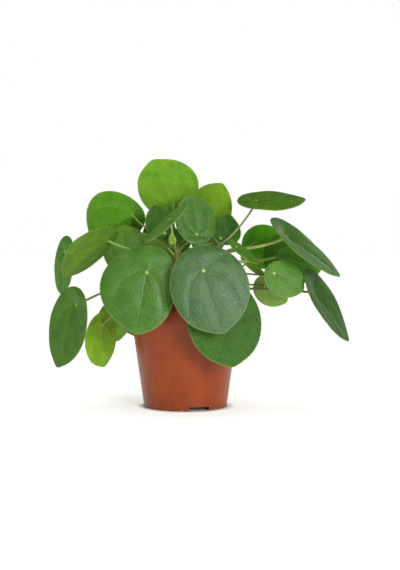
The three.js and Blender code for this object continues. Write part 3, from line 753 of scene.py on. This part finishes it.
def blade_form(number, leaf, size, dip, looks):
    """A blade with its veins, rounded rim and waves. Returns its places, faces, slots and attributes."""
    sides, rings = LARGE_MESH if leaf["length"] > LARGE_LEAF else SMALL_MESH
    shares = np.linspace(0, 1, rings + 1)[1:] ** 0.92
    angle, share = np.meshgrid(turns(sides), shares)
    x, y, z = blade_surface(leaf, angle, share)
    outward = np.stack([leaf["width"] * np.cos(angle), leaf["length"] * np.sin(angle)])
    outward /= np.linalg.norm(outward, axis=0)
    half = looks.thickness / MM / 2
    relief = leaf.get("relief", 1)
    x, y = np.stack([x, y]) - outward * (half + looks.trim / MM) * share
    # Signed distances from the veins: the midrib, a pair that arcs to the point, and a pair behind.
    fold = np.abs((angle + pi) % (2 * pi) - pi)
    middle = np.where(fold < pi / 2, y, np.hypot(x, y))
    arc = (fold - (1.95 - 1.2 * share)) * share * size
    back = (fold - (2.62 - 0.35 * share)) * share * size
    veins = np.stack([middle, arc, back], axis=-1)
    near = np.min(np.abs(veins), axis=-1)
    # The blade bulges a little between its veins, and its rim waves. Settings are for a size of 40 mm.
    bulge = dip / HUB_DIP * (1 - np.exp(-((near / 6) ** 2))) * (1 - share**4)
    wave = ripples(np.cos(angle) * 40, np.sin(angle) * 40, 48, 100 + number, 4) * share**3
    z = z + bulge - dip + looks.rim_wave / MM * size / 40 * wave
    z = z + 0.4 * size / 40 * ripples(x, y, 13, 200 + number) * share * (1.2 - share)
    # Rings run from the upper hub, out round the rim, where they turn over, and back to the lower hub.
    order = [*range(rings), *[rings - 1] * len(RIM_TILTS), *range(rings)[::-1]]
    tilt = np.radians([90] * rings + RIM_TILTS + [-90] * rings)[:, None]
    out_x, out_y = outward[:, order] * half * np.cos(tilt)
    rows = np.stack([x[order] + out_x, y[order] + out_y, z[order] + half * np.sin(tilt)], axis=-1)
    places = with_ends((0, 0, half - dip), rows, (0, 0, -half - dip))
    marks = np.stack([size * (1 - share), np.hypot(x, y), 1 - relief * (1 - share)], axis=-1)
    hub_marks = (size, 0, 1 - relief)
    # The side that its green isn't for takes the shared one, a little changed from leaf to leaf.
    change = np.append(np.random.default_rng(300 + number).uniform(0.85, 1.15, 3), 1)
    upper, under = (
        linear(greens[leaf["green"]]) if leaf["green"] in greens else tuple(shared * change)
        for greens, shared in ((UPPER_GREENS, looks.upper_colour), (UNDER_GREENS, looks.under_colour)))
    tone = np.tile(upper, (len(places), 1))
    tone[1 + (rings + 2) * sides :] = under
    tone[:, 3] = 1 - leaf.get("dull", 0)
    # Into the plant's frame.
    face = unit(leaf["face"])
    tip_across, tip_up = leaf["tip"]
    depth = -(tip_across * face[0] + tip_up * face[2]) / face[1]
    along = unit((tip_across, depth, tip_up))
    places = places @ np.stack([along, np.cross(face, along), face]) + leaf["hub"]
    slots = [0] * sides * (rings + 2) + [1] * sides * (rings + 3)
    return places, closed_faces(len(order), sides, turned=True), slots, {
        "tone": tone,
        "veins": with_ends((0, 0, 0), veins[order], (0, 0, 0)),
        "blade": with_ends(hub_marks, marks[order], hub_marks),
    }


def petiole_form(number, leaf, size, dip, looks):
    """A petiole, thickest where it leaves the stem, with a small collar under the blade. Returns its
    places, faces and attributes."""
    path = petiole_route(leaf, dip)
    share = np.linspace(0, 1, len(path))
    thick = PETIOLE_RADIUS * min(1, 0.55 + size / 80) * leaf.get("stalk", 1)
    radii = thick * (1.12 - 0.28 * share + 0.55 * np.exp(-((share / 0.05) ** 2)))
    radii += thick * 0.35 * np.exp(-(((1 - share) / 0.03) ** 2))
    places, faces = tube(path, radii, PETIOLE_SIDES)
    foot = np.array(linear(STALKS[leaf["petiole"]]) if "petiole" in leaf else looks.petiole_colour)
    green = 0.3 if leaf.get("petiole") in ("tan", "brown") else 1
    turned = ((0.1 + 0.75 * share**2) * green)[:, None]
    tone = foot * (1 - turned) + np.array(looks.petiole_top_colour) * turned
    around = np.tile(3 * np.sin(turns(PETIOLE_SIDES)), len(path))
    lengthways = np.repeat(3 * share, PETIOLE_SIDES)
    return places, faces, {
        "tone": np.repeat(tone, PETIOLE_SIDES, axis=0),
        "veins": np.zeros((len(places), 3)),
        "blade": np.stack([around, lengthways, np.full(len(around), number)], axis=1),
    }


def make_leaf(key, number, leaf, materials, looks):
    """One leaf: a blade and its petiole."""
    size = (leaf["length"] + leaf["width"]) / 4
    dip = HUB_DIP * looks.quilting / MM * size / 40 * leaf.get("relief", 1)
    places, faces, slots, marks = blade_form(number, leaf, size, dip, looks)
    stalk, stalk_faces, stalk_marks = petiole_form(number, leaf, size, dip, looks)
    add_piece(
        "leaf_" + key + "_blade_and_petiole", np.concatenate([places, stalk]),
        faces + moved_faces(stalk_faces, len(places)), materials, slots + [2] * len(stalk_faces),
        {name: np.concatenate([values, stalk_marks[name]]) for name, values in marks.items()},
        node="leaf_" + key if key in LEAVES else None, slot="leaf")


def add_aimed(data, place, aim):
    """Adds a camera or a light that looks or shines from a place to a point, in metres."""
    aimed = bpy.data.objects.new(data.name, data)
    aimed.location = place
    aimed.rotation_euler = (Vector(aim) - Vector(place)).to_track_quat("-Z", "Y").to_euler()
    bpy.context.scene.collection.objects.link(aimed)
    return aimed


def add_soft_box(name, place, aim, width, height, watts):
    """Adds a soft box that shines from a place to a point, in metres."""
    data = bpy.data.lights.new(name, "AREA")
    data.shape = "RECTANGLE"
    data.size, data.size_y = width, height
    data.energy = watts
    return add_aimed(data, place, aim)


def make_stage(looks):
    """The camera at the photograph's place, a white floor, a white surround and soft boxes."""
    scene = bpy.context.scene
    data = bpy.data.cameras.new("front_camera")
    data.sensor_width = 36
    data.lens = looks.lens
    scene.camera = add_aimed(data, CAMERA_PLACE, CAMERA_AIM)
    rim = [(FLOOR_RADIUS * cos(a), FLOOR_RADIUS * sin(a), -FLOOR_DROP) for a in turns(64)]
    add_piece("studio_floor", rim, [tuple(range(len(rim)))], [floor_material(looks)])
    # The surround shows white, and lights the plant most from a backdrop behind it, up to 25 degrees
    # high. Reflections see it dim, as through a polarising filter, but for two white panels: one low
    # behind the plant on the right, for the pale sheen of the leaves there, and one high behind the camera.
    world = bpy.data.worlds.new("studio_surround")
    world.use_nodes = True
    new = partial(add, world.node_tree)
    way = new("SeparateXYZ", [new("TexCoord")["Generated"]])
    behind = new("MapRange", (way["Y"], 0, 0.5))[0]
    low = new("MapRange", (way["Z"], 0.3, 0.6, 1, 0))[0]
    both = new("Math", (behind, low), **TIMES)[0]
    strength = new("MapRange", (both, 0, 1, looks.surround, looks.backdrop))[0]
    skyline = new("MapRange", (way["Z"], 0.26, 0.36, 1.8, 0))[0]
    for axis, least, most in (("X", 0, 0.2), ("Y", 0.8, 0.9)):
        inside = new("MapRange", (way[axis], least, most))[0]
        skyline = new("Math", (skyline, inside), **TIMES)[0]
    skyline = new("Math", (skyline, looks.reflected))[0]
    above = new("MapRange", (way["Z"], 0.36, 0.5, 0, 6))[0]
    front = new("MapRange", (way["Y"], -0.7, -0.8))[0]
    skyline = new("Math", (above, front, skyline), **TIMES_PLUS)[0]
    ray = new("LightPath")
    strength = new("Mix", {0: ray["Is Glossy Ray"], 2: strength, 3: skyline})[0]
    light, white = (new("Background", (WHITE, power))[0] for power in (strength, 1))
    mixed = new("MixShader", (ray["Is Camera Ray"], light, white))[0]
    fill(world.node_tree.nodes["World Output"], {"Surface": mixed})
    scene.world = world
    add_soft_box("key_soft_box", (0.64, -1.35, 0.42), (0, 0, 0.14), 0.42, 0.5, looks.key)
    side = add_soft_box("fill_soft_box", (-1.3, -0.7, 0.8), (0, 0, 0.12), 0.8, 1.2, looks.fill)
    ceiling = bpy.data.objects.new("ceiling_light", bpy.data.lights.new("ceiling_light", "SUN"))
    ceiling.data.energy = looks.ceiling
    ceiling.data.angle = radians(45)
    ceiling.rotation_euler = (radians(-12), radians(8), 0)
    scene.collection.objects.link(ceiling)
    side.visible_glossy = ceiling.visible_glossy = False
    scene.view_settings.view_transform = "Standard"


def amount(name, description, value, **more):
    """A number for the settings, none below 0."""
    return FloatProperty(name=name, description=description, default=value, min=0, **more)


def measure(name, description, millimetres):
    """A length for the settings, given in millimetres and kept in metres."""
    return amount(name, description, millimetres * MM, precision=5, subtype="DISTANCE", unit="LENGTH")


def swatch(name, description, tone):
    """A colour for the settings, given as an sRGB hex value and kept linear."""
    return FloatVectorProperty(
        name=name, description=description, default=linear(tone), size=4, min=0, max=1, subtype="COLOR")


class PotSettings(bpy.types.PropertyGroup):
    sides: IntProperty(name="Sides", description="Faces round the pot", default=180, min=24)
    edge_radius: measure("Edge radius", "Rounding of the rim's edges", 0.8)
    colour: swatch("Colour", "Terracotta-coloured plastic", "#983f0a")
    dull_colour: swatch("Dull colour", "The plastic where it is dull", "#7c320a")
    dust_colour: swatch("Dust", "Lime and dust on the foot", "#d8c8b8")


class SoilSettings(bpy.types.PropertyGroup):
    unevenness: measure("Unevenness", "Height of the swells and crumbs of the top", 1.0)
    crumbs: IntProperty(name="Crumbs", description="Loose crumbs on the top", default=420, min=0)
    dark_colour: swatch("Dark", "Moist peat", "#1e140d")
    light_colour: swatch("Light", "Drier crumbs and fibres", "#5a4330")
    perlite_colour: swatch("Perlite", "White grains among the soil", "#efe9dc")
    pore_colour: swatch("Pores", "The pores of the white grains", "#a59a8c")


class StemSettings(bpy.types.PropertyGroup):
    bark_colour: swatch("Bark", "Corky bark of the lower stem", "#6d5a3a")
    skin_colour: swatch("Skin", "Green skin of the upper stem", "#7d8a48")
    scale_colour: swatch("Bud scales", "Thin scales round the bud", "#9aa85c")


class LeafSettings(bpy.types.PropertyGroup):
    thickness: measure("Thickness", "Thickness of a blade", 0.75)
    trim: measure("Trim", "How far the rim stays inside the plan outline", 0.3)
    quilting: measure("Quilting", "Bulge between the veins of a large leaf", 1.1)
    rim_wave: measure("Rim wave", "Waves of a large leaf's rim", 0.8)
    upper_colour: swatch("Upper side", "Upper sides with no green of their own", "#4f8338")
    under_colour: swatch("Underside", "Undersides with no green of their own", "#6a9440")
    net_colour: swatch("Net", "The net of small veins", "#7da458")
    vein_colour: swatch("Veins", "The raised main veins of the underside", "#86a860")
    # Painted shade: the dark in the sunk veins of the upper side.
    groove_shade_colour: swatch("Grooves", "The sunk main veins of the upper side", "#2c5014")
    rim_colour: swatch("Rim", "The thin line of the rim", "#8f9a4a")
    dot_colour: swatch("Dot", "The pale dot over the petiole", "#b4cc62")
    petiole_colour: swatch("Petiole foot", "Petioles near the stem", "#7c8342")
    petiole_top_colour: swatch("Petiole top", "Petioles near the blade", "#9ab55a")


class StageSettings(bpy.types.PropertyGroup):
    lens: FloatProperty(name="Lens", description="Focal length", default=72.18, min=1, unit="CAMERA")
    surround: amount("Surround", "Light from the room", 0.36)
    backdrop: amount("Backdrop", "Light from the white backdrop", 1)
    reflected: amount("Reflected", "The surround as reflections see it", 0.05)
    key: amount("Key", "Power of the key soft box", 13, unit="POWER")
    fill: amount("Fill", "Power of the fill soft box", 3, unit="POWER")
    ceiling: amount("Ceiling", "Strength of the ceiling light", 0.55)
    glow: amount("Floor glow", "Light that comes through the floor", 0.5)
    floor_colour: swatch("Floor", "White background paper", "#f2f2f0")


class MONEYPLANT_OT_pot(bpy.types.Operator):
    """Makes the moulded grower pot with its rim and drain slots"""

    bl_idname = "money_plant.pot"
    bl_label = "Make pot"

    def execute(self, context):
        make_pot(context.scene.money_plant_pot)
        return {"FINISHED"}


class MONEYPLANT_OT_soil(bpy.types.Operator):
    """Makes the potting soil with its crumbs and perlite"""

    bl_idname = "money_plant.soil"
    bl_label = "Make soil"

    def execute(self, context):
        make_soil(context.scene.money_plant_soil)
        return {"FINISHED"}


class MONEYPLANT_OT_stem(bpy.types.Operator):
    """Makes the stem with its bud"""

    bl_idname = "money_plant.stem"
    bl_label = "Make stem"

    def execute(self, context):
        make_stem(context.scene.money_plant_stem)
        return {"FINISHED"}


class MONEYPLANT_OT_leaves(bpy.types.Operator):
    """Makes every leaf with its petiole"""

    bl_idname = "money_plant.leaves"
    bl_label = "Make leaves"

    def execute(self, context):
        looks = context.scene.money_plant_leaf
        materials = [
            leaf_material("money_plant_leaf_upper_waxy", True, looks),
            leaf_material("money_plant_leaf_underside_dull", False, looks),
            petiole_material(),
        ]
        for number, (key, leaf) in enumerate({**LEAVES, **YOUNG_LEAVES}.items()):
            make_leaf(key, number, leaf, materials, looks)
        return {"FINISHED"}


class MONEYPLANT_OT_stage(bpy.types.Operator):
    """Makes the camera, the floor and the lights"""

    bl_idname = "money_plant.stage"
    bl_label = "Make stage"

    def execute(self, context):
        make_stage(context.scene.money_plant_stage)
        return {"FINISHED"}


class MONEYPLANT_PT_panel(bpy.types.Panel):
    """Lists the plant's pieces and their settings"""

    bl_label = "Money plant"
    bl_idname = "MONEYPLANT_PT_panel"
    bl_space_type = "VIEW_3D"
    bl_region_type = "UI"
    bl_category = "Money plant"

    def draw(self, context):
        for name, (_, operator) in GROUPS.items():
            box = self.layout.box()
            box.operator(operator.bl_idname)
            settings = getattr(context.scene, "money_plant_" + name)
            for key in settings.__annotations__:
                box.prop(settings, key)


GROUPS = {
    "stage": (StageSettings, MONEYPLANT_OT_stage),
    "pot": (PotSettings, MONEYPLANT_OT_pot),
    "soil": (SoilSettings, MONEYPLANT_OT_soil),
    "stem": (StemSettings, MONEYPLANT_OT_stem),
    "leaf": (LeafSettings, MONEYPLANT_OT_leaves),
}
CLASSES = (*sum(GROUPS.values(), ()), MONEYPLANT_PT_panel)


def register():
    for kind in CLASSES:
        bpy.utils.register_class(kind)
    for name, (kind, _) in GROUPS.items():
        setattr(bpy.types.Scene, "money_plant_" + name, PointerProperty(type=kind))


def unregister():
    for name in GROUPS:
        delattr(bpy.types.Scene, "money_plant_" + name)
    for kind in reversed(CLASSES):
        bpy.utils.unregister_class(kind)


def main():
    register()
    bpy.ops.money_plant.stage()
    bpy.ops.money_plant.pot()
    bpy.ops.money_plant.soil()
    bpy.ops.money_plant.stem()
    bpy.ops.money_plant.leaves()


if __name__ == "__main__":
    main()
